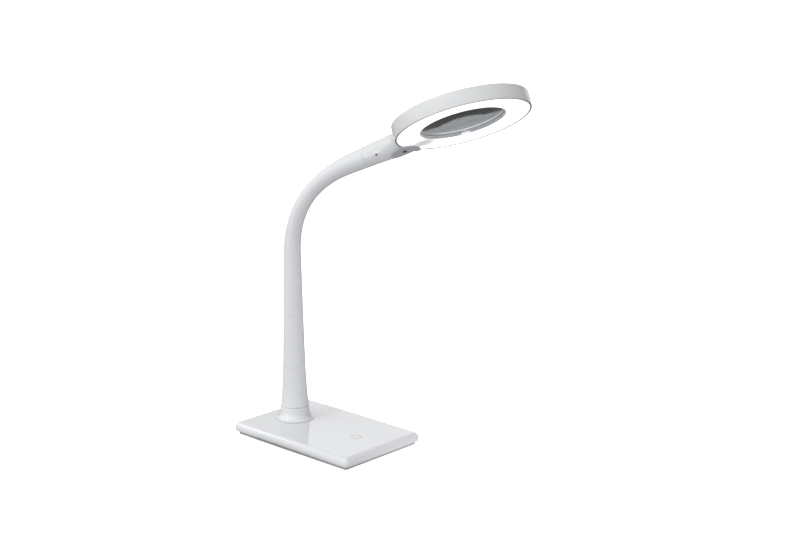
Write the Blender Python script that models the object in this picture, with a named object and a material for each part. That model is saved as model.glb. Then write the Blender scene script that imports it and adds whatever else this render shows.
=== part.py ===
"""Desk magnifying lamp: weighted base, tapered column, flexible arm, and a ring-light head with a lens.

Metres, +Z up. The origin is the centre of the base's underside, and +X is the front of the base.
The arm bends in an upright plane turned by ARM_TURN about the column. The head has its own frame:
its origin is the middle of the ring, +X points away from the neck and +Z out of the back of the lens.
"""

from math import asin, cos, pi, radians, sin

import bmesh
import bpy
import numpy as np
from mathutils import Euler, Matrix, Vector

MM = 0.001
GAP = 0.3 * MM

# Base
BASE_LENGTH = 225 * MM
BASE_WIDTH = 148 * MM
BASE_CORNER = 8 * MM
BASE_TOP = 18.3 * MM
LIP_HEIGHT = 6.3 * MM
SHOULDER_WIDTH = 6.5 * MM
COVER_WALL = 2.4 * MM
TRAY_INSET = 5.2 * MM
TRAY_FLOOR = 2 * MM
TRAY_HEIGHT = 6.4 * MM
PAD_HEIGHT = 0.8 * MM
PAD_LENGTH = 180 * MM
PAD_WIDTH = 126 * MM
SCREW_SPOTS = [(x, y) for x in (-99 * MM, 99 * MM) for y in (-34 * MM, 34 * MM)]
SCREW_RADIUS = 1.5 * MM
SCREW_HEAD_RADIUS = 2.9 * MM
BALLAST_LENGTH = 184 * MM
BALLAST_WIDTH = 124 * MM
BALLAST_HEIGHT = 5.6 * MM
TOUCH_X = 59.8 * MM
TOUCH_RADIUS = 7.2 * MM
TOUCH_LINE = 0.8 * MM
INLET_HEIGHT = 11.3 * MM
INLET_RADIUS = 3.4 * MM
INLET_BORE = 2.7 * MM

# Column and arm, along the centreline from the top of the base
COLUMN_X = -63.1 * MM
ARM_TURN = radians(11)
COLLAR_RADIUS = 27.4 * MM
COLLAR_HEIGHT = 18.9 * MM
BEND_START = 257.7 * MM
BEND_RISE = 87.7 * MM
BEND_RUN = 45.9 * MM
BEND_REACH = 108.9 * MM
BEND_TOP = 395.7 * MM
NECK_RISE = radians(22.83)
SEAM_RUN = 20 * MM
SLEEVE_RADII = [(0, 19.9), (19, 19.7), (32, 18.5), (50, 17.3), (72, 16.2), (120, 14.8), (180, 13.4)]
SLEEVE_RADII += [(240, 12.2), (300, 11.0), (340, 10.9), (385, 11.9), (420, 13.4), (455, 14.5)]
JOINT_COUNT = 8
FIRST_JOINT = 224 * MM
LINK_RADIUS = 6.8 * MM
CUP_SETBACK = 2.6 * MM
SLEEVE_BORE = 8 * MM
BEND_LIMIT = radians(15)
TUBE_RADIUS = 9 * MM

# Head, measured from the face of the ring along the axis of the lens
RING_RADIUS = 89 * MM
RING_HEIGHT = 20 * MM
RING_TOP_RADIUS = 89.3 * MM
RING_WALL = 2 * MM
OPENING_RADIUS = 56.3 * MM
LENS_RADIUS = OPENING_RADIUS - 0.4 * MM
LENS_EDGE = (6.0 * MM, 8.6 * MM)
LENS_BULGE = 3.6 * MM
CLIP_ANGLES = (radians(-20), radians(120), radians(-100))
LID_RADIUS = OPENING_RADIUS + 6 * MM
LID_THICKNESS = 2 * MM
LID_SEAT = RING_HEIGHT - 2.4 * MM
HINGE_BACK = LID_RADIUS + 4 * MM
HINGE_HEIGHT = RING_HEIGHT + 3.6 * MM
HINGE_BARREL = 2.6 * MM
PIN_RADIUS = 1 * MM
LED_COUNT = 24
RING_SIDES = 2 * LED_COUNT
HEAD_ROLL = radians(-11.5)
HEAD_PITCH = radians(-24.25)
NECK_TO_RING = 172 * MM
RING_LIFT = 0.5 * MM
FACE = -RING_HEIGHT / 2

WHITE = (0.80, 0.81, 0.82)
SLEEVE_WHITE = (0.72, 0.73, 0.75)
TRAY_GREY = (0.60, 0.61, 0.63)


def clear_scene():
    for item in list(bpy.data.objects):
        bpy.data.objects.remove(item)


def material(name, colour, roughness, metallic=0.0, transmission=0.0):
    made = bpy.data.materials.get(name) or bpy.data.materials.new(name)
    made.use_nodes = True
    shader = made.node_tree.nodes["Principled BSDF"]
    shader.inputs["Base Color"].default_value = (*colour, 1)
    shader.inputs["Roughness"].default_value = roughness
    shader.inputs["Metallic"].default_value = metallic
    shader.inputs["Transmission Weight"].default_value = transmission
    return made


def empty(name, matrix, parent=None):
    """An empty at a place in the world, on the axis of the joint that it stands for."""
    made = bpy.data.objects.new(name, None)
    bpy.context.scene.collection.objects.link(made)
    made.parent = parent
    made.matrix_basis = FRAMES[parent.name].inverted() @ matrix if parent else matrix
    FRAMES[name] = matrix
    return made


def new_object(name, shape, finish, parent=None, world=True):
    """Makes an object from a bmesh. A shape in world coordinates is brought into its parent's frame."""
    bmesh.ops.remove_doubles(shape, verts=shape.verts, dist=1e-6)
    bmesh.ops.recalc_face_normals(shape, faces=shape.faces)
    mesh = bpy.data.meshes.new(name)
    shape.to_mesh(mesh)
    shape.free()
    if parent and world:
        mesh.transform(FRAMES[parent.name].inverted())
    made = bpy.data.objects.new(name, mesh)
    bpy.context.scene.collection.objects.link(made)
    made.parent = parent
    mesh.materials.append(finish)
    mesh.shade_smooth()
    mesh.set_sharp_from_angle(angle=radians(35))
    return made


def cutter(name, shape, parent=None):
    """A helper solid for a Boolean. It isn't part of the lamp."""
    made = new_object(name, shape, material("cutter", (1, 0, 0), 1), parent, world=False)
    made.hide_render = True
    made.display_type = "WIRE"
    return made


def boolean(target, tool, operation="DIFFERENCE"):
    change = target.modifiers.new(tool.name, "BOOLEAN")
    change.object = tool
    change.operation = operation
    change.solver = "EXACT"


def loft(rings, closed=False):
    """Faces between successive rings of points. Its two ends are capped, or joined if it is closed."""
    shape = bmesh.new()
    loops = [[shape.verts.new(point) for point in ring] for ring in rings]
    pairs = list(zip(loops, loops[1:]))
    if closed:
        pairs.append((loops[-1], loops[0]))
    for low, high in pairs:
        bridge(shape, low, high)
    if not closed:
        for end in (loops[0], loops[-1]):
            if len(end) > 2:
                shape.faces.new(end)
    return shape


def bridge(shape, low, high):
    """Joins two rings, either of which may be a single point."""
    count = max(len(low), len(high))
    for i in range(count):
        j = (i + 1) % count
        corners = [low[i % len(low)], low[j % len(low)], high[j % len(high)], high[i % len(high)]]
        unique = list(dict.fromkeys(corners))
        shape.faces.new(unique)


def turned(profile, sides, place, closed=False):
    """Turns a profile about an axis. A row is (station, offset, radius), and place gives a station's
    centre, tangent and two cross vectors. A radius of 0 is a point on the axis."""
    rings = []
    for station, offset, radius in profile:
        centre, tangent, across, up = place(station)
        middle = centre + tangent * offset
        if radius == 0:
            rings.append([middle])
            continue
        angles = [2 * pi * i / sides for i in range(sides)]
        rings.append([middle + (across * cos(a) + up * sin(a)) * radius for a in angles])
    return loft(rings, closed)


def upright(x=0.0, y=0.0):
    """A straight axis along +Z. A station is a height."""
    cross = (Vector((1, 0, 0)), Vector((0, 1, 0)))
    return lambda z: (Vector((x, y, z)), Vector((0, 0, 1)), *cross)


def along(start, direction):
    """A straight axis in any direction. A station is the distance from its start."""
    tangent = Vector(direction).normalized()
    side = Vector((0, 0, 1)) if abs(tangent.z) < 0.9 else Vector((1, 0, 0))
    across = tangent.cross(side).normalized()
    return lambda s: (Vector(start) + tangent * s, tangent, across, tangent.cross(across))


def straight(rows):
    """Rows of (station, radius) for turned()."""
    return [(station, 0.0, radius) for station, radius in rows]


def rod(start, direction, length, radius, sides=20):
    return turned(straight([(0, radius), (length, radius)]), sides, along(start, direction))


def block(low, high):
    shape = bmesh.new()
    bmesh.ops.create_cube(shape, size=1)
    size = [high[i] - low[i] for i in range(3)]
    middle = [(high[i] + low[i]) / 2 for i in range(3)]
    bmesh.ops.scale(shape, vec=size, verts=shape.verts)
    bmesh.ops.translate(shape, vec=middle, verts=shape.verts)
    return shape


def rounded_plan(inset, z, length=BASE_LENGTH, width=BASE_WIDTH, corner=BASE_CORNER, steps=4):
    """A rounded rectangle at height z, drawn in from the given outline."""
    radius = max(corner - inset, 1.5 * MM)
    half_x, half_y = length / 2 - inset - radius, width / 2 - inset - radius
    points = []
    for quarter, (sx, sy) in enumerate([(1, 1), (-1, 1), (-1, -1), (1, -1)]):
        for step in range(steps + 1):
            angle = (quarter + step / steps) * pi / 2
            points.append(Vector((sx * half_x + radius * cos(angle), sy * half_y + radius * sin(angle), z)))
    return points


def prism(outline, low, high):
    """A closed solid between two heights over an outline of (x, y) points."""
    return loft([[Vector((x, y, z)) for x, y in outline] for z in (low, high)])


def slab(profile, half_width):
    """A closed solid of the given (x, z) outline, extruded to both sides along Y."""
    return loft([[Vector((x, y, z)) for x, z in profile] for y in (-half_width, half_width)])


# Centreline of the column and arm ------------------------------------------------------------------

OUTWARD = Vector((cos(ARM_TURN), sin(ARM_TURN), 0))
SIDEWAYS = Vector((-sin(ARM_TURN), cos(ARM_TURN), 0))
NECK_DIRECTION = OUTWARD * cos(NECK_RISE) + Vector((0, 0, sin(NECK_RISE)))


def centreline():
    """Distances along the arm with the reach and height there: upright, then a Bezier bend, then straight."""
    direction = np.array([cos(NECK_RISE), sin(NECK_RISE)])
    start, end = np.array([0, BEND_START]), np.array([BEND_REACH, BEND_TOP])
    handles = [start, start + [0, BEND_RISE], end - direction * BEND_RUN, end]
    t = np.linspace(0, 1, 400)[:, None]
    weights = [(1 - t) ** 3, 3 * (1 - t) ** 2 * t, 3 * (1 - t) * t**2, t**3]
    bend = sum(w * h for w, h in zip(weights, handles))
    points = np.vstack([[0, BASE_TOP], bend, end + direction * 0.3])
    steps = np.hypot(*np.diff(points, axis=0).T)
    return np.concatenate([[0], np.cumsum(steps)]), points


DISTANCES, POINTS = centreline()
BEND_END = float(DISTANCES[-2])
SEAM = BEND_END + SEAM_RUN


def on_arm(s):
    """Centre, tangent and two cross vectors of the arm at distance s."""
    near = 0.5 * MM
    reach, height = (float(np.interp(s, DISTANCES, POINTS[:, k])) for k in range(2))
    ahead, behind = (
        [float(np.interp(s + d, DISTANCES, POINTS[:, k])) for k in range(2)] for d in (near, -near)
    )
    centre = Vector((COLUMN_X, 0, 0)) + OUTWARD * reach + Vector((0, 0, height))
    tangent = (OUTWARD * (ahead[0] - behind[0]) + Vector((0, 0, ahead[1] - behind[1]))).normalized()
    return centre, tangent, SIDEWAYS.copy(), tangent.cross(SIDEWAYS)


def sleeve_radius(s):
    """The sleeve's outer radius at distance s: a smooth curve through its stations."""
    at = np.array([row[0] for row in SLEEVE_RADII]) * MM
    radii = np.array([row[1] for row in SLEEVE_RADII]) * MM
    slopes = np.gradient(radii, at)
    i = int(np.clip(np.searchsorted(at, s) - 1, 0, len(at) - 2))
    width = at[i + 1] - at[i]
    u = float(np.clip((s - at[i]) / width, 0, 1))
    ease = 3 * u**2 - 2 * u**3
    bow = (u**3 - 2 * u**2 + u) * slopes[i] + (u**3 - u**2) * slopes[i + 1]
    return float(radii[i] * (1 - ease) + radii[i + 1] * ease + bow * width)


JOINTS = [FIRST_JOINT + (SEAM - FIRST_JOINT) * i / JOINT_COUNT for i in range(JOINT_COUNT + 1)]
SEAM_CENTRE = on_arm(SEAM)[0]
RING_CENTRE = (
    on_arm(BEND_END)[0]
    + NECK_DIRECTION * NECK_TO_RING
    + NECK_DIRECTION.cross(SIDEWAYS) * RING_LIFT
)
HEAD_MATRIX = Matrix.Translation(RING_CENTRE) @ Euler((HEAD_ROLL, HEAD_PITCH, ARM_TURN)).to_matrix().to_4x4()
LID_MATRIX = HEAD_MATRIX @ Matrix.Translation((-HINGE_BACK, 0, FACE + HINGE_HEIGHT))
FRAMES = {}


def body_frames():
    """One empty for each moving body, on the axis of its joint, and one in the middle of the ring."""
    made = {0: None}
    for i, s in enumerate(JOINTS[:-1], start=1):
        made[i] = empty(f"arm_joint_{i}", Matrix.Translation(on_arm(s)[0]), made[i - 1])
    swivel = empty("head_swivel", Matrix.Translation(SEAM_CENTRE), made[JOINT_COUNT])
    made["head"] = empty("head_frame", HEAD_MATRIX, swivel)
    made["lid"] = empty("lid_hinge", LID_MATRIX, made["head"])
    return made


# Base ----------------------------------------------------------------------------------------------

def base_cover():
    """Glossy moulded shell, open underneath, with a soft shoulder and a thin lip round the bottom."""
    steps = 4
    arc = [i / steps * pi / 2 for i in range(steps + 1)]
    side_top = LIP_HEIGHT + 2.2 * MM
    rise = BASE_TOP - side_top
    outer = [(1.2 * MM, LIP_HEIGHT)]
    outer += [(SHOULDER_WIDTH * (1 - cos(a)), side_top + rise * sin(a)) for a in arc]
    inner_rise = rise - COVER_WALL
    inner = [
        (COVER_WALL + (SHOULDER_WIDTH - 1 * MM) * (1 - cos(a)), side_top + inner_rise * sin(a)) for a in arc
    ]
    inner = [(COVER_WALL + 0.4 * MM, LIP_HEIGHT)] + inner
    shape = loft([rounded_plan(*row) for row in reversed(outer)] + [rounded_plan(*row) for row in inner])
    cover = new_object("base_cover", shape, material("cover_white", WHITE, 0.12))
    top_of_boss = BASE_TOP - COVER_WALL / 2
    bosses = [upright(x, y) for x, y in SCREW_SPOTS]
    for i, spot in enumerate(bosses):
        rows = [(LIP_HEIGHT + 1 * MM, 4 * MM), (top_of_boss, 4 * MM)]
        boolean(cover, cutter(f"boss_{i}", turned(straight(rows), 16, spot)), "UNION")
    stem_hole = turned(straight([(10 * MM, TUBE_RADIUS + 4 * MM), (25 * MM, TUBE_RADIUS + 4 * MM)]), 32,
                       upright(COLUMN_X, 0))
    boolean(cover, cutter("stem_hole", stem_hole))
    groove = [(BASE_TOP - 1.2 * MM, TOUCH_RADIUS + GAP), (BASE_TOP + 1 * MM, TOUCH_RADIUS + GAP)]
    inside = TOUCH_RADIUS - TOUCH_LINE - GAP
    groove += [(BASE_TOP + 1 * MM, inside), (BASE_TOP - 1.2 * MM, inside)]
    boolean(cover, cutter("touch_groove", turned(straight(groove), 24, upright(TOUCH_X, 0), closed=True)))
    inlet = rod((-BASE_LENGTH / 2 - 3 * MM, 0, INLET_HEIGHT), (1, 0, 0), 12 * MM, INLET_RADIUS + GAP, 24)
    boolean(cover, cutter("inlet_hole", inlet))
    for i, spot in enumerate(bosses):
        rows = [(LIP_HEIGHT - 1 * MM, SCREW_RADIUS + GAP), (BASE_TOP - 4 * MM, SCREW_RADIUS + GAP)]
        boolean(cover, cutter(f"pilot_{i}", turned(straight(rows), 12, spot)))


def base_tray():
    """The recessed bottom pan that carries the ballast, the pad and the screws."""
    low, floor = PAD_HEIGHT, PAD_HEIGHT + TRAY_FLOOR
    top = PAD_HEIGHT + TRAY_HEIGHT
    wall = TRAY_INSET + 1.8 * MM
    rows = [(wall, floor), (wall, top), (TRAY_INSET, top), (TRAY_INSET, low)]
    shape = loft([rounded_plan(*row) for row in rows])
    tray = new_object("base_tray", shape, material("tray_grey", TRAY_GREY, 0.45))
    for i, (x, y) in enumerate(SCREW_SPOTS):
        head, shank = SCREW_HEAD_RADIUS + GAP, SCREW_RADIUS + GAP
        neck = low + 1.2 * MM
        rows = [(0, head), (neck, head), (neck, shank), (floor + 2 * MM, shank)]
        boolean(tray, cutter(f"screw_seat_{i}", turned(straight(rows), 20, upright(x, y))))


def base_pad():
    """The anti-slip pad that the lamp stands on."""
    rows = [(0.25 * MM, 0), (0, 0.25 * MM), (0, PAD_HEIGHT - GAP)]
    shape = loft([rounded_plan(i, z, PAD_LENGTH, PAD_WIDTH, 9 * MM, 4) for i, z in rows])
    new_object("base_pad", shape, material("pad_rubber", (0.10, 0.10, 0.11), 0.8))


def base_screws():
    steel = material("screw_steel", (0.55, 0.56, 0.58), 0.3, 1.0)
    head = PAD_HEIGHT + 0.2 * MM
    neck = PAD_HEIGHT + 1.2 * MM - GAP
    rows = [(head, SCREW_HEAD_RADIUS), (neck, SCREW_HEAD_RADIUS), (neck, SCREW_RADIUS)]
    rows.append((12 * MM, SCREW_RADIUS))
    for i, (x, y) in enumerate(SCREW_SPOTS, start=1):
        new_object(f"base_screw_{i}", turned(straight(rows), 12, upright(x, y)), steel)


def ballast_plate():
    low = PAD_HEIGHT + TRAY_FLOOR + GAP
    rows = [(0, low), (0, low + BALLAST_HEIGHT)]
    shape = loft([rounded_plan(i, z, BALLAST_LENGTH, BALLAST_WIDTH, 8 * MM, 3) for i, z in rows])
    plate = new_object("ballast_plate", shape, material("ballast_iron", (0.22, 0.22, 0.23), 0.6, 1.0))
    hole = turned(straight([(0, 17 * MM), (20 * MM, 17 * MM)]), 24, upright(COLUMN_X, 0))
    boolean(plate, cutter("ballast_hole", hole))


def base_electrics():
    """The touch button's ring and sensor, the driver board and the low-voltage inlet."""
    low, high = BASE_TOP - 0.9 * MM, BASE_TOP
    inside = TOUCH_RADIUS - TOUCH_LINE
    rows = straight([(low, TOUCH_RADIUS), (high, TOUCH_RADIUS), (high, inside), (low, inside)])
    ring = turned(rows, 24, upright(TOUCH_X, 0), closed=True)
    new_object("touch_ring", ring, material("touch_grey", (0.42, 0.44, 0.47), 0.3))
    board_green = material("board_green", (0.05, 0.22, 0.12), 0.5)
    top = BASE_TOP - COVER_WALL - GAP
    sensor = turned(straight([(top - 1.6 * MM, 11 * MM), (top, 11 * MM)]), 24, upright(TOUCH_X, 0))
    new_object("touch_sensor", sensor, board_green)
    floor = PAD_HEIGHT + TRAY_FLOOR + BALLAST_HEIGHT + 2 * GAP
    board = new_object(
        "driver_board", block((-10 * MM, -46 * MM, floor), (36 * MM, -20 * MM, floor + 1.6 * MM)), board_green
    )
    for i, x in enumerate((-2 * MM, 12 * MM, 26 * MM)):
        chip = block((x - 4 * MM, -40 * MM, floor + 1 * MM), (x + 4 * MM, -28 * MM, floor + 3.6 * MM))
        boolean(board, cutter(f"chip_{i}", chip), "UNION")
    mouth, pin = 1.6 * MM, 0.8 * MM
    depth = 9 * MM
    rows = [(2 * MM, 0), (2 * MM, pin), (depth, pin), (depth, INLET_BORE), (mouth, INLET_BORE)]
    rows += [(mouth, INLET_RADIUS), (depth + 3 * MM, INLET_RADIUS), (depth + 3 * MM, 0)]
    socket = turned(straight(rows), 20, along((-BASE_LENGTH / 2, 0, INLET_HEIGHT), (1, 0, 0)))
    new_object("power_inlet", socket, material("inlet_black", (0.05, 0.05, 0.05), 0.4))


# Column and arm --------------------------------------------------------------------------------------

def column():
    """The flared collar, the tapered sleeve round the column, and the tube and nut that hold it all down."""
    foot = BASE_TOP + GAP
    rows = [(0, COLLAR_RADIUS), (0.9, 27.1 * MM), (3, 24.0 * MM), (7.5, 21.5 * MM)]
    rows += [(COLLAR_HEIGHT / MM, 20.0 * MM), (COLLAR_HEIGHT / MM, 15 * MM), (0, 15 * MM)]
    profile = straight([(foot + z * MM, r) for z, r in rows])
    collar = turned(profile, 32, upright(COLUMN_X, 0), closed=True)
    new_object("column_collar", collar, material("collar_white", WHITE, 0.15))

    start, end = COLLAR_HEIGHT + 2 * GAP, JOINTS[0] - sleeve_clearance(JOINTS[0])
    stations = [start + (end - start) * i / 7 for i in range(8)]
    outer = [(s, 0.0, sleeve_radius(s)) for s in stations]
    bore = TUBE_RADIUS + GAP
    sleeve = turned(outer + [(end, 0.0, bore), (start, 0.0, bore)], 24, on_arm, closed=True)
    new_object("column_sleeve", sleeve, material("sleeve_white", SLEEVE_WHITE, 0.35))

    steel = material("tube_steel", (0.62, 0.63, 0.65), 0.35, 1.0)
    low, high = 5 * MM, BASE_TOP + JOINTS[0] - 12 * MM
    wall = TUBE_RADIUS - 1.5 * MM
    rows = straight([(low, TUBE_RADIUS), (high, TUBE_RADIUS), (high, wall), (low, wall)])
    new_object("column_tube", turned(rows, 24, upright(COLUMN_X, 0), closed=True), steel)
    nut_low, nut_high = BASE_TOP - COVER_WALL - 5 * MM, BASE_TOP - COVER_WALL - GAP
    flats, bore = 16.5 * MM, (TUBE_RADIUS + GAP) / cos(pi / 6)
    rows = straight([(nut_low, flats), (nut_high, flats), (nut_high, bore), (nut_low, bore)])
    new_object("column_nut", turned(rows, 6, upright(COLUMN_X, 0), closed=True), steel)


def sleeve_clearance(s):
    """Half the gap that a sleeve needs at a joint, so that its edges never meet at the joint's limit."""
    return sleeve_radius(s) * sin(BEND_LIMIT) / 2 + 0.25 * MM


def ball(centre, steps=3):
    """The lower half of a link's ball, from its pole up to its widest ring."""
    angles = [i / steps * pi / 2 for i in range(steps)]
    return [(centre, -LINK_RADIUS * cos(a), LINK_RADIUS * sin(a)) for a in angles]


def cup(centre, steps=3):
    """The hollow that holds the next link's ball, from its rim down to its pole."""
    radius = LINK_RADIUS + GAP
    rim = asin(CUP_SETBACK / radius)
    angles = [rim + (pi / 2 - rim) * i / steps for i in range(steps + 1)]
    rows = [(centre, -radius * sin(a), radius * cos(a)) for a in angles]
    return rows[:-1] + [(centre, -radius, 0)]


def arm_links(frames):
    """The flexible arm's core: a socket on the column, then eight links that turn in each other."""
    steel = material("link_steel", (0.48, 0.49, 0.51), 0.4, 1.0)
    shoulder = LINK_RADIUS
    first = JOINTS[0]
    base = [(first, -24 * MM, 0), (first, -24 * MM, 7.0 * MM), (first, -11.7 * MM, 7.0 * MM)]
    base += [(first, -11.7 * MM, shoulder), (first, -CUP_SETBACK, shoulder)]
    new_object("arm_socket", turned(base + cup(first), 16, on_arm), steel)
    for i in range(JOINT_COUNT):
        start, end = JOINTS[i], JOINTS[i + 1]
        rows = ball(start) + [(start, 0.0, LINK_RADIUS)]
        rows += [((start + end) / 2, 0.0, LINK_RADIUS)]
        if i < JOINT_COUNT - 1:
            rows += [(end, -CUP_SETBACK, shoulder)] + cup(end)
        else:
            rows += [(end, 22 * MM, LINK_RADIUS - 0.3 * MM), (end, 22 * MM, 0)]
        new_object(f"arm_link_{i + 1}", turned(rows, 16, on_arm), steel, frames[i + 1])


def arm_sleeves(frames):
    """The smooth skin of the flexible arm, one length for each link."""
    skin = material("sleeve_white", SLEEVE_WHITE, 0.35)
    for i in range(JOINT_COUNT):
        start = JOINTS[i] + sleeve_clearance(JOINTS[i])
        end = SEAM - GAP if i == JOINT_COUNT - 1 else JOINTS[i + 1] - sleeve_clearance(JOINTS[i + 1])
        rows = [(s, 0.0, sleeve_radius(s)) for s in (start, (start + end) / 2, end)]
        rows += [(end, 0.0, SLEEVE_BORE), (start, 0.0, SLEEVE_BORE)]
        new_object(f"arm_sleeve_{i + 1}", turned(rows, 24, on_arm, closed=True), skin, frames[i + 1])


# Head ----------------------------------------------------------------------------------------------

def lens_axis(z):
    """The axis of the lens in the head's frame. A station is the height above the face of the ring."""
    return Vector((0, 0, FACE + z)), Vector((0, 0, 1)), Vector((1, 0, 0)), Vector((0, 1, 0))


def head_turned(name, rows, finish, parent, sides=RING_SIDES, closed=True):
    shape = turned(straight([(z * MM, r * MM) for z, r in rows]), sides, lens_axis, closed)
    return new_object(name, shape, finish, parent, world=False)


def head_housing(frames):
    """The ring's moulded shell: rim, top, the wall round the lens, and the two ears of the cover's hinge."""
    rim, top, opening = RING_RADIUS / MM, RING_TOP_RADIUS / MM, OPENING_RADIUS / MM
    height, wall = RING_HEIGHT / MM, RING_WALL / MM
    seat, recess = LID_SEAT / MM, LID_RADIUS / MM + 0.4
    rows = [(0, rim - wall), (0, rim), (height - 2.4, top), (height - 0.8, top - 0.7)]
    rows += [(height, top - 2.4), (height, recess), (seat, recess), (seat, opening + 2), (9, opening + 2)]
    rows += [(9, opening + 4), (seat - wall, opening + 4), (seat - wall, recess + wall)]
    rows += [(height - wall, recess + wall), (height - wall, top - 3.4)]
    rows += [(height - 4, top - wall)]
    housing = head_turned("head_housing", rows, material("head_white", WHITE, 0.2), frames["head"])
    reach = HINGE_BARREL + 0.4 * MM
    axis = FACE + HINGE_HEIGHT
    for side in (-1, 1):
        near, far = 8.4 * MM, 12.4 * MM
        root = FACE + RING_HEIGHT - 0.5 * MM
        outline = [(-HINGE_BACK - reach, root), (-HINGE_BACK + reach, root)]
        outline += [(-HINGE_BACK + reach * cos(a), axis + reach * sin(a)) for a in arc_angles(0, pi, 6)]
        ear = loft([[Vector((x, side * y, z)) for x, z in outline] for y in (near, far)])
        boolean(housing, cutter(f"ear_{side}", ear, frames["head"]), "UNION")
    bore = rod((-HINGE_BACK, -15 * MM, axis), (0, 1, 0), 30 * MM, PIN_RADIUS + GAP, 12)
    boolean(housing, cutter("ear_bore", bore, frames["head"]))


def arc_angles(start, end, steps):
    return [start + (end - start) * i / steps for i in range(steps + 1)]


def head_optics(frames):
    """Diffuser, light board, lens, its bezel and its three clips."""
    head = frames["head"]
    opening = OPENING_RADIUS / MM
    outer, inner = (RING_RADIUS - RING_WALL - GAP) / MM, opening + 0.2
    rows = [(0.9, outer), (0.5, 72), (0.8, inner + 3), (1.7, inner), (2.8, inner), (2.8, outer)]
    head_turned("diffuser_ring", rows, material("diffuser_opal", (0.95, 0.96, 0.97), 0.4), head)
    rows = [(3.1, opening), (8.6, opening), (8.6, opening + 3.6), (3.1, opening + 3.6)]
    head_turned("lens_bezel", rows, material("bezel_grey", (0.55, 0.56, 0.58), 0.35), head)
    light_board(head)
    glass = material("lens_glass", (0.86, 0.89, 0.92), 0.03, 0.0, 1.0)
    low, high = LENS_EDGE[0] / MM, LENS_EDGE[1] / MM
    edge, bulge = LENS_RADIUS / MM, LENS_BULGE / MM
    shares = [0, 0.4, 0.75]
    rows = [(low - bulge * (1 - k**2), edge * k) for k in shares] + [(low, edge), (high, edge)]
    rows += [(high + bulge * (1 - k**2), edge * k) for k in reversed(shares)]
    head_turned("lens", rows, glass, head, closed=False)
    clip_white = material("clip_white", (0.88, 0.89, 0.90), 0.25)
    for i, angle in enumerate(CLIP_ANGLES, start=1):
        turn = Matrix.Rotation(angle, 4, "Z")
        profile = [(0.7, 2.2), (0.7, 5.6), (3.8, 5.0), (3.8, 4.0), (2.0, 3.6), (2.0, 2.2)]
        clip = slab([(OPENING_RADIUS - x * MM, FACE + z * MM) for x, z in profile], 5.5 * MM)
        bmesh.ops.transform(clip, matrix=turn, verts=clip.verts)
        new_object(f"lens_clip_{i}", clip, clip_white, head, world=False)


def light_board(head):
    """A ring board with a raised chip in every second bay of its underside."""
    rows = [(12.4, 64.5), (12.4, 69), (12.4, 77), (12.4, 82.5), (13.8, 82.5), (13.8, 64.5)]
    shape = turned(straight([(z * MM, r * MM) for z, r in rows]), RING_SIDES, lens_axis, closed=True)
    shape.faces.ensure_lookup_table()
    chips = [shape.faces[RING_SIDES + i] for i in range(0, RING_SIDES, 2)]
    for face in chips:
        made = bmesh.ops.extrude_face_region(shape, geom=[face])["geom"]
        corners = [item for item in made if isinstance(item, bmesh.types.BMVert)]
        bmesh.ops.translate(shape, vec=(0, 0, -0.9 * MM), verts=corners)
        bmesh.ops.delete(shape, geom=[face], context="FACES_ONLY")
    new_object("light_board", shape, material("light_board", (0.85, 0.86, 0.84), 0.5), head, world=False)


def neck_station(s):
    """The neck's straight axis in the head's frame. A station is the distance past the sleeve's seam."""
    inverse = HEAD_MATRIX.inverted()
    start = inverse @ SEAM_CENTRE
    tangent = (inverse.to_3x3() @ NECK_DIRECTION).normalized()
    across = Vector((0, 1, 0))
    across = (across - tangent * across.dot(tangent)).normalized()
    return start + tangent * s, tangent, across, tangent.cross(across)


NECK_SIZES = [(0.3, 14.2, 14.2), (18, 14.9, 14.9), (34, 15.5, 15.6), (46, 16.0, 17.0), (54, 16.3, 19.5)]
NECK_SIZES += [(61, 16.5, 23.0), (68, 16.3, 22.5), (74, 15.4, 20.0), (78.5, 13.0, 15.0), (80.5, 10.5, 11.0)]
FLAT_CURVE = [(-123, -8.3), (-118, -5.4), (-113, -3.2), (-107, -1.7), (-100, -0.9), (-93, -0.6), (-86, -0.6)]
COVER_SCREW_X = -95 * MM


def neck(frames):
    """The tube that joins arm and ring: round at the seam, flared at the rim, flat underneath."""
    head = frames["head"]
    white = material("head_white", WHITE, 0.2)
    sides = 32
    rings = []
    for s, half_height, half_width in NECK_SIZES:
        centre, tangent, across, up = neck_station(s * MM)
        wide, tall = across * half_width * MM, up * half_height * MM
        rings.append([centre + wide * cos(a) + tall * sin(a) for a in arc_angles(0, 2 * pi, sides)[:-1]])
    tube = new_object("neck_tube", loft(rings), white, head, world=False)
    bore = turned(straight([(-5 * MM, 11 * MM), (44 * MM, 11 * MM)]), 24, neck_station)
    boolean(tube, cutter("neck_bore", bore, head))
    low, high, reach = -3 * MM, RING_HEIGHT + GAP, RING_TOP_RADIUS + GAP
    shape = turned(straight([(low, 0), (low, reach), (high, reach), (high, 0)]), RING_SIDES, lens_axis)
    boolean(tube, cutter("ring_room", shape, head))
    under = [(x * MM, FACE + (z + 1.9) * MM) for x, z in FLAT_CURVE]
    under += [(-50 * MM, under[-1][1]), (-50 * MM, FACE - 30 * MM), (under[0][0], FACE - 30 * MM)]
    boolean(tube, cutter("flat_room", slab(under, 40 * MM), head))
    spot, inward = side_screw_axis()
    hole = rod(spot - inward * 4 * MM, inward, 14 * MM, 2.2 * MM, 16)
    boolean(tube, cutter("side_screw_hole", hole, head))
    cover_spot = Vector((COVER_SCREW_X, 0, FACE))
    pilot = rod(cover_spot - Vector((0, 0, 4 * MM)), (0, 0, 1), 12 * MM, SCREW_RADIUS + GAP, 12)
    boolean(tube, cutter("cover_pilot", pilot, head))
    neck_cover(head, white, cover_spot)
    neck_fittings(head, cover_spot)


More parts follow.
